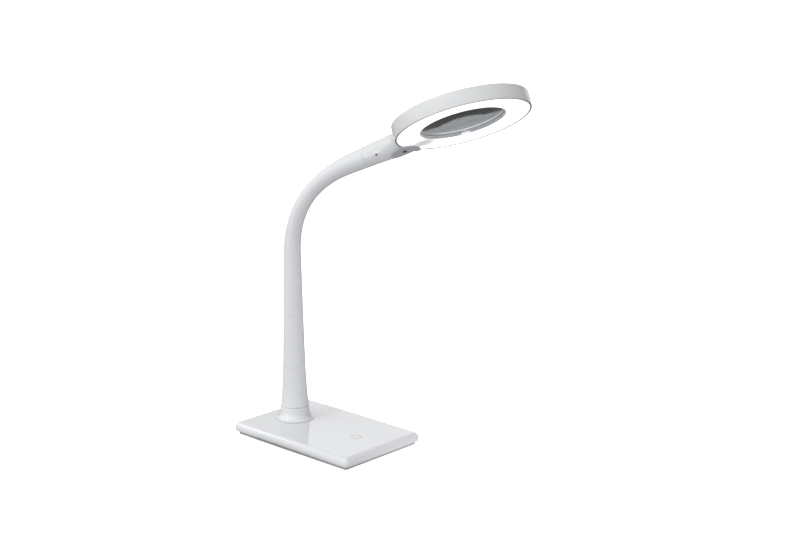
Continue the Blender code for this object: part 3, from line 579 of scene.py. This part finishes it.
def arm_pieces():
    """The arm's skin, one length for each joint, from one link's middle to the next one's."""
    step = JOINTS[1] - JOINTS[0]
    for i in range(JOINT_COUNT):
        start, end = JOINTS[i] - step / 2, JOINTS[i] + step / 2
        stations = arm_stations(start, end)
        last = i == JOINT_COUNT - 1
        if last:
            stations += arm_stations(end, SEAM - 0.3 * MM)[1:]
        rings = [arm_ring(s, sleeve_radius(s)) for s in stations]
        if last:
            lip = sleeve_radius(SEAM)
            for back, inset in ((0.18, 0.06), (0.12, 0.25), (0.12, 3)):
                rings.append(arm_ring(SEAM - back * MM, lip - inset * MM))
        skin = loft(f"arm_skin_{i + 1}", rings, SKIN, caps=False, sharp=50)
        on_arm(start)[0]
        on_arm(end)[0]
        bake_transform(skin)
        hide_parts(f"arm_sleeve_{i + 1}")


# Head --------------------------------------------------------------------------------------------------

SEAM_CENTRE = on_arm(SEAM)[0]
RING_CENTRE = on_arm(BEND_END)[0] + NECK_DIRECTION * NECK_TO_RING
RING_CENTRE = RING_CENTRE + NECK_DIRECTION.cross(SIDEWAYS) * RING_LIFT
HEAD_TILT = Euler((HEAD_ROLL, HEAD_PITCH, ARM_TURN)).to_matrix().to_4x4()
HEAD_MATRIX = Matrix.Translation(RING_CENTRE) @ HEAD_TILT
FACE_MATRIX = HEAD_MATRIX @ Matrix.Translation((0, 0, FACE))
LID_MATRIX = FACE_MATRIX @ Matrix.Translation((-HINGE_BACK, 0, HINGE_HEIGHT))


def arc(start, end, steps):
    return [start + (end - start) * i / steps for i in range(steps + 1)]


def fillet(centre, radius, start, end, steps=5):
    turns = [radians(a) for a in arc(start, end, steps)]
    return [(centre[0] + radius * cos(a), centre[1] + radius * sin(a)) for a in turns]


def head_turned(name, rows, finish, sides=256, closed=True, sharp=35):
    """Rows of (radius, height above the diffuser's face) in millimetres, turned about the lens's axis."""
    rows = [(r * MM, z * MM) for r, z in rows]
    return turned(name, rows, finish, FACE_MATRIX, sides, closed, sharp=sharp)


def ring_housing():
    rim, top, height = RING_RADIUS / MM, RING_TOP_RADIUS / MM, RING_HEIGHT / MM
    rows = [(rim - 2.6, 0.9), (rim - 2.6, 0.2), (rim - 2.4, 0)]
    rows += fillet((rim - 0.45, 0.45), 0.45, -90, 0)
    rows += fillet((top - 1.6, height - 1.6), 1.6, 2, 88, 8)
    recess, seat, opening = LID_RADIUS / MM + 0.5, LID_SEAT / MM, OPENING_RADIUS / MM
    rows += [(recess + 0.5, height)] + fillet((recess + 0.4, height - 0.4), 0.4, 90, 180, 3)
    rows += [(recess, seat), (opening + 2, seat), (opening + 2, 9), (opening + 4, 9)]
    rows += [(opening + 4, seat - 2), (recess + 2, seat - 2), (recess + 2, height - 2)]
    rows += [(top - 3.4, height - 2), (top - 2, height - 4)]
    housing = head_turned("ring_housing", rows, SHELL)
    ears = []
    reach = EAR_RADIUS
    for side in (-1, 1):
        root = RING_HEIGHT - 0.8 * MM
        outline = [(-HINGE_BACK - reach, root), (-HINGE_BACK + reach, root)]
        outline += [(-HINGE_BACK + reach * cos(a), HINGE_HEIGHT + reach * sin(a)) for a in arc(0, pi, 16)]
        ear = loft_data([[(x, side * y, z) for x, z in outline] for y in (EAR_START, EAR_END)])
        ears.append(cutter(f"ear_{side}", *ear, FACE_MATRIX))
    apply_booleans(housing, ears, "UNION")
    smooth_sharp(housing, 30)
    # Painted shade on the lip round the diffuser.
    paint_lip_shade(housing.data)
    bevel(housing, 0.25 * MM, 2, 50)
    place(housing, "head", "head_housing", slot="head_white")


def paint_lip_shade(mesh):
    """The thin dark line of painted shade on the housing's lip, round the diffuser."""
    mesh.materials.append(LIP_SHADE_GREY)
    inverse = FACE_MATRIX.inverted()
    for face in mesh.polygons:
        if abs((inverse @ face.center).z) < 0.01 * MM:
            face.material_index = 1


def ring_face():
    opening = OPENING_RADIUS / MM
    outer, inner = (RING_RADIUS - 2.7 * MM) / MM, opening + 0.2
    rows = [(outer, 1.2), (outer - 0.2, 0.75), (outer - 1.5, 0.6)]
    rows += [(80, 0.52), (72, 0.5), (64, 0.55), (60, 0.7)]
    rows += fillet((inner + 1.2, 2.0), 1.2, 250, 180, 5) + [(inner, 2.8), (outer, 2.8)]
    face = head_turned("ring_diffuser", rows, glowing("opal_glow", (0.6, 0.6, 0.6), 1.0))
    place(face, "head", "diffuser_ring", slot="diffuser_opal")
    top = LID_SEAT / MM - 0.2
    rows = [(0, 3.0), (0, 8.6), (1.7, 8.7), (1.7, top), (1.95, top), (1.95, 8.8), (3.6, 8.8), (3.6, 3.0)]
    rows = [(opening + r, z) for r, z in rows]
    wall = head_turned("lens_wall", rows, WALL)
    place(wall, "head", "lens_bezel", slot="bezel_grey")


def lens_pieces():
    opening = OPENING_RADIUS / MM
    edge, low, high, bulge = opening - 1.4, 6.0, 8.6, 3.6
    shares = [i / 20 for i in range(21)]
    rows = [(edge * k, low - bulge * (1 - k**2)) for k in shares]
    rows += [(edge * k, high + bulge * (1 - k**2)) for k in reversed(shares)]
    lens = head_turned("lens_glass", rows, GLASS, 192, closed=False, sharp=30)
    place(lens, "head", "lens", slot="lens_glass")
    rows = [(1.3, 5.2), (1.1, 5.0), (0.2, 5.0), (0.05, 5.2), (0.05, 8.6), (1.3, 8.6)]
    rim = head_turned("lens_rim", [(opening - inset, z) for inset, z in rows], RIM)
    place(rim, "head", slot="clip_white")
    for i, angle in enumerate(CLIP_ANGLES, start=1):
        profile = [(0.1, 2.0), (0.1, 5.2), (1.4, 5.1), (3.8, 4.75)]
        profile += [(4.4, 4.3), (3.8, 3.9), (1.8, 3.6), (1.4, 2.4)]
        rings = [[((opening - x) * MM, y * MM, z * MM) for x, z in profile] for y in (-5.5, 5.5)]
        turn = FACE_MATRIX @ Matrix.Rotation(angle, 4, "Z")
        tab = loft(f"lens_tab_{i}", rings, TAB, turn, sharp=30)
        leg = [(0.05, 2.0), (0.05, 15.5), (1.1, 15.5), (1.1, 2.0)]
        leg = [[((opening - x) * MM, y * MM, z * MM) for x, z in leg] for y in (-1.5, 1.5)]
        apply_booleans(tab, [cutter(f"tab_leg_{i}", *loft_data(leg), turn)], "UNION")
        smooth_sharp(tab, 30)
        bevel(tab, 0.25 * MM, 3, 30)
        place(tab, "head", f"lens_clip_{i}", slot="clip_white")


def neck_station(s):
    inverse = FACE_MATRIX.inverted()
    start = inverse @ SEAM_CENTRE
    tangent = (inverse.to_3x3() @ NECK_DIRECTION).normalized()
    across = Vector((0, 1, 0))
    across = (across - tangent * across.dot(tangent)).normalized()
    return start + tangent * s, tangent, across, tangent.cross(across)


NECK_EDGE = [(0.1, 13.2, 13.2), (0.12, 13.95, 13.95)]
NECK_SIZES = [(0.25, 14.2, 14.2), (9, 14.5, 14.5), (18, 14.9, 14.9), (34, 15.5, 15.6), (46, 16.0, 17.0)]
NECK_SIZES += [(54, 16.3, 19.5), (61, 16.5, 23.0), (68, 16.3, 22.5), (74, 15.4, 20.0)]
NECK_SIZES += [(78.5, 13.0, 15.0), (80.5, 10.5, 11.0)]
FLAT_CURVE = [(-123, -8.3), (-118, -5.4), (-113, -3.2), (-107, -1.7)]
FLAT_CURVE += [(-100, -0.9), (-93, -0.6), (-86, -0.6)]
PLATE_SCREW_X = -95 * MM


def neck_ring(s, half_height, half_width, sides=96):
    centre, tangent, across, up = neck_station(s * MM)
    angles = [2 * pi * i / sides for i in range(sides)]
    return [centre + across * cos(a) * half_width * MM + up * sin(a) * half_height * MM for a in angles]


def slab_data(profile, half_width):
    return loft_data([[(x, y, z) for x, z in profile] for y in (-half_width, half_width)])


def neck_pieces():
    sizes = NECK_EDGE + [tuple(p) for p in smooth_path(NECK_SIZES, 5)]
    rings = [neck_ring(*row) for row in sizes]
    neck = loft("neck_shell", rings, SHELL, FACE_MATRIX)
    reach = RING_RADIUS - 0.4 * MM
    room = loft_data([circle(reach, z, 256) for z in (-3 * MM, RING_HEIGHT - 0.2 * MM)])
    curve = [tuple(p) for p in smooth_path(FLAT_CURVE, 4)]
    under = [(x * MM, (z + 1.75) * MM) for x, z in curve]
    under += [(-50 * MM, under[-1][1]), (-50 * MM, -30 * MM), (under[0][0], -30 * MM)]
    spot, inward = side_screw_axis()
    turn = inward.to_track_quat("Z", "Y").to_matrix().to_4x4()
    hole = loft_data([circle(2.2 * MM, z, 40) for z in (-4 * MM, 10 * MM)])
    tools = [
        cutter("ring_room", *room, FACE_MATRIX),
        cutter("flat_room", *slab_data(under, 40 * MM), FACE_MATRIX),
        cutter("side_hole", *hole, FACE_MATRIX @ Matrix.Translation(spot) @ turn),
    ]
    apply_booleans(neck, tools)
    smooth_sharp(neck, 30)
    place(neck, "head", "neck_tube", slot="head_white")
    side = cross_screw("side_screw", 1.9 * MM, 1.8 * MM, 6 * MM, STEEL)
    side.data.transform(FACE_MATRIX @ Matrix.Translation(spot + inward * 1.2 * MM) @ turn)
    place(side, "head", "clamp_screw", slot="screw_dark")
    neck_plate(curve)


def side_screw_axis():
    centre, tangent, across, up = neck_station(22 * MM)
    outward = across * -cos(radians(-26)) + up * sin(radians(-26))
    return centre + outward * 15 * MM, -outward


def neck_plate(curve):
    """The flat plate below the neck: its tongue reaches over the edge of the diffuser."""
    rim = -RING_RADIUS - 1.6 * MM
    lower = [(x * MM, z * MM) for x, z in curve]
    lower = [(x, z - (1.0 * MM if x > rim else 0)) for x, z in lower]
    lower.append((-74 * MM, lower[-1][1]))
    upper = [(x, z + 1.6 * MM) for x, z in lower if x < rim] + [(rim, 0.4 * MM), (-74 * MM, 0.4 * MM)]
    profile = lower + list(reversed(upper))
    # Painted shade: the plate's grey finish stands for the shade on its downward face.
    plate = mesh_piece("neck_plate", *slab_data(profile, 40 * MM), PLATE_SHADE_GREY, FACE_MATRIX)
    back, front, half, waist = -114.5 * MM, -76.5 * MM, 20 * MM, -92 * MM
    outline = [(waist + (back - waist) * sin(a), 16.6 * MM * cos(a)) for a in arc(0, pi, 40)]
    outline += [(-88 * MM, -half), (-85 * MM, -half)]
    outline += [(front - (1 - cos(a)) * 14 * MM, half * sin(a) / sin(1.1)) for a in arc(-1.1, 1.1, 32)]
    outline += [(-85 * MM, half), (-88 * MM, half)]
    edge = loft_data([[(x, y, z) for x, y in outline] for z in (-20 * MM, 20 * MM)])
    apply_booleans(plate, [cutter("plate_edge", *edge, FACE_MATRIX)], "INTERSECT")
    seat = loft_data([circle(3.2 * MM, z, 40, PLATE_SCREW_X, 0) for z in (-6 * MM, -1.2 * MM)])
    apply_booleans(plate, [cutter("plate_seat", *seat, FACE_MATRIX)])
    smooth_sharp(plate, 30)
    place(plate, "head", "neck_cover", slot="head_white")
    screw = cross_screw("plate_screw", 2.9 * MM, 1.5 * MM, 6 * MM, DARK)
    screw.data.transform(FACE_MATRIX @ Matrix.Translation((PLATE_SCREW_X, 0, -2.1 * MM)))
    place(screw, "head", "cover_screw", slot="screw_dark")


def lid_pieces():
    down = -HINGE_HEIGHT
    base = down + LID_SEAT + 0.3 * MM
    top = base + LID_THICKNESS
    soft = 0.7 * MM
    rows = [(0, base), (LID_RADIUS - 0.3 * MM, base), (LID_RADIUS, base + 0.3 * MM)]
    rows += fillet((LID_RADIUS - soft, top - soft), soft, 0, 90) + [(0, top)]
    lid = turned("lens_lid", rows, LID, LID_MATRIX, 192, False, (HINGE_BACK, 0))
    outline = [(LUG_RADIUS * cos(a), LUG_RADIUS * sin(a)) for a in arc(0, pi * 1.4, 24)]
    lug = base + 0.4 * MM
    outline += [(4.2 * MM, -3 * MM), (4.6 * MM, lug), (9 * MM, lug), (9 * MM, top + 0.6 * MM)]
    front = HINGE_BACK + LID_RADIUS
    low, high = (front - 8 * MM, -LUG_HALF, top - 1 * MM), (front - 1 * MM, LUG_HALF, top + 1.8 * MM)
    root = box_data(low, high)
    lip = down + RING_HEIGHT + 0.3 * MM
    tab = box_data((front - 6 * MM, -7 * MM, lip), (front + 5 * MM, 7 * MM, top + 1.6 * MM))
    tools = [
        cutter("lid_lug", *slab_data(outline, LUG_HALF), LID_MATRIX),
        cutter("lid_root", *root, LID_MATRIX),
        cutter("lid_tab", *tab, LID_MATRIX),
    ]
    apply_booleans(lid, tools, "UNION")
    smooth_sharp(lid, 30)
    # Painted shade under the lid.
    paint_lid_shade(lid.data)
    bevel(lid, 0.3 * MM, 3, 45)
    place(lid, "lens_cover", "lens_cover", slot="lid_white")
    half_pin = [(1, 12.7), (0.7, 13)]
    rows = [(r, -z) for r, z in reversed(half_pin)] + half_pin
    rings = [circle(r * MM, z * MM, 32) for r, z in rows]
    pin = loft("hinge_rod", rings, STEEL, LID_MATRIX @ Matrix.Rotation(pi / 2, 4, "X"))
    place(pin, "head", "hinge_pin", slot="pin_steel")


def paint_lid_shade(mesh):
    """Painted shade: a grey on the side of the lid that faces the lens, where the white lid lies in
    shade.
    """
    mesh.materials.append(LID_SHADE_AND_GLOW)
    down = (LID_MATRIX.to_3x3() @ Vector((0, 0, -1))).normalized()
    for face in mesh.polygons:
        if face.normal.dot(down) > 0.95:
            face.material_index = 1


def box_data(low, high):
    corners = [(low[0], low[1]), (high[0], low[1]), (high[0], high[1]), (low[0], high[1])]
    return loft_data([[(x, y, z) for x, y in corners] for z in (low[2], high[2])])


# Studio ------------------------------------------------------------------------------------------------

def studio():
    """A white floor out to the horizon, soft light from the front left, and a bright wall behind."""
    bpy.context.scene.view_settings.view_transform = "Standard"
    paper = moulded("studio_paper", (0.92, 0.92, 0.92), 0.9, spread=0.02, grain=200, bump=0.0, tone=0.0)
    shader = paper.node_tree.nodes["Principled BSDF"]
    shader.inputs["Emission Color"].default_value = (1, 1, 1, 1)
    shader.inputs["Emission Strength"].default_value = FLOOR_GLOW
    signs = ((-1, -1), (1, -1), (1, 1), (-1, 1))
    corners = [(x * FLOOR_REACH, y * FLOOR_REACH, FLOOR_HEIGHT) for x, y in signs]
    floor = mesh_piece("studio_floor", corners, [(0, 1, 2, 3)], paper)
    floor.visible_diffuse = False
    floor.visible_glossy = False
    floor.visible_transmission = False
    table_glow()
    studio_world()
    softbox("key_light", (-0.45, -1.43, 1.6), (0, 0, 0.25), (0.6, 0.6), 7)
    softbox("ridge_light", (-0.97, -0.61, 0.65), (0, 0, 0.02), (0.25, 0.3), 0.8)
    softbox("strip_light", (-0.47, -1.22, 0.22), (-0.06, 0, 0.05), (0.12, 0.4), 1.1)


def table_glow():
    """The light that the white table gives back round the lamp's foot."""
    paper = finish_of("table_glow", (0.0, 0.0, 0.0), 1.0)
    tree = paper.node_tree
    spot = node(tree, "ShaderNodeTexCoord")
    away = node(tree, "ShaderNodeVectorMath", operation="DISTANCE")
    away.inputs[1].default_value = TABLE_CENTRE
    tree.links.new(spot.outputs["Object"], away.inputs[0])
    fade = node(tree, "ShaderNodeMapRange", interpolation_type="SMOOTHSTEP")
    set_range(fade, *TABLE_GLOW)
    tree.links.new(away.outputs["Value"], fade.inputs["Value"])
    shader = tree.nodes["Principled BSDF"]
    shader.inputs["Emission Color"].default_value = (1, 1, 1, 1)
    tree.links.new(fade.outputs["Result"], shader.inputs["Emission Strength"])
    points = circle(TABLE_RADIUS, TABLE_HEIGHT, 96, *TABLE_CENTRE[:2])
    disc = mesh_piece("studio_table", points, [tuple(range(96))], paper)
    disc.visible_camera = False
    disc.visible_glossy = False
    disc.visible_shadow = False


def studio_world():
    world = bpy.data.worlds.new("studio")
    bpy.context.scene.world = world
    world.use_nodes = True
    tree = world.node_tree
    spot = node(tree, "ShaderNodeTexCoord")

    def step(direction, low, high, start, end):
        """Rises or falls smoothly from start to end as a direction's share goes from low to high."""
        share = node(tree, "ShaderNodeVectorMath", operation="DOT_PRODUCT")
        share.inputs[1].default_value = direction
        tree.links.new(spot.outputs["Generated"], share.inputs[0])
        made = node(tree, "ShaderNodeMapRange", interpolation_type="SMOOTHSTEP")
        set_range(made, low, high, start, end)
        tree.links.new(share.outputs["Value"], made.inputs["Value"])
        return made.outputs["Result"]

    def combine(operation, first, second):
        made = node(tree, "ShaderNodeMath", operation=operation)
        tree.links.new(first, made.inputs[0])
        tree.links.new(second, made.inputs[1])
        return made.outputs["Value"]

    back = combine("MULTIPLY", step(BEHIND, *BACK_WALL), step(RIGHT, *BACK_SPLIT))
    wall = combine("MAXIMUM", step(FRONT_LEFT, *SIDE_LIGHT), back)
    wall = combine("MULTIPLY", wall, step(UP, *WALL_TOP))
    sky = combine("ADD", wall, step(UP, *ZENITH))
    above = combine("MULTIPLY", sky, step(UP, *HORIZON_UP))
    below = step(UP, *HORIZON_DOWN)
    glow = combine("ADD", above, below)
    tree.links.new(glow, tree.nodes["Background"].inputs["Strength"])
    tree.nodes["Background"].inputs["Color"].default_value = (1, 1, 1, 1)


def facing(spot, target):
    return (Vector(target) - Vector(spot)).to_track_quat("-Z", "Y").to_euler()


def softbox(name, spot, target, size, power):
    data = bpy.data.lights.new(name, "AREA")
    data.shape = "RECTANGLE"
    data.size, data.size_y = size
    data.energy = power
    lamp = bpy.data.objects.new(name, data)
    bpy.context.scene.collection.objects.link(lamp)
    lamp.location = spot
    lamp.rotation_euler = facing(spot, target)


def camera():
    data = bpy.data.cameras.new("camera")
    data.lens = CAMERA_LENS
    data.sensor_width = 36
    data.clip_end = 50
    made = bpy.data.objects.new("camera", data)
    bpy.context.scene.collection.objects.link(made)
    made.location = CAMERA_PLACE
    made.rotation_euler = facing(CAMERA_PLACE, CAMERA_TARGET)
    bpy.context.scene.camera = made


dress_cad_nodes()
base_shell()
touch_mark()
base_pan()
column_pieces()
arm_pieces()
ring_housing()
ring_face()
lens_pieces()
neck_pieces()
lid_pieces()
studio()
camera()
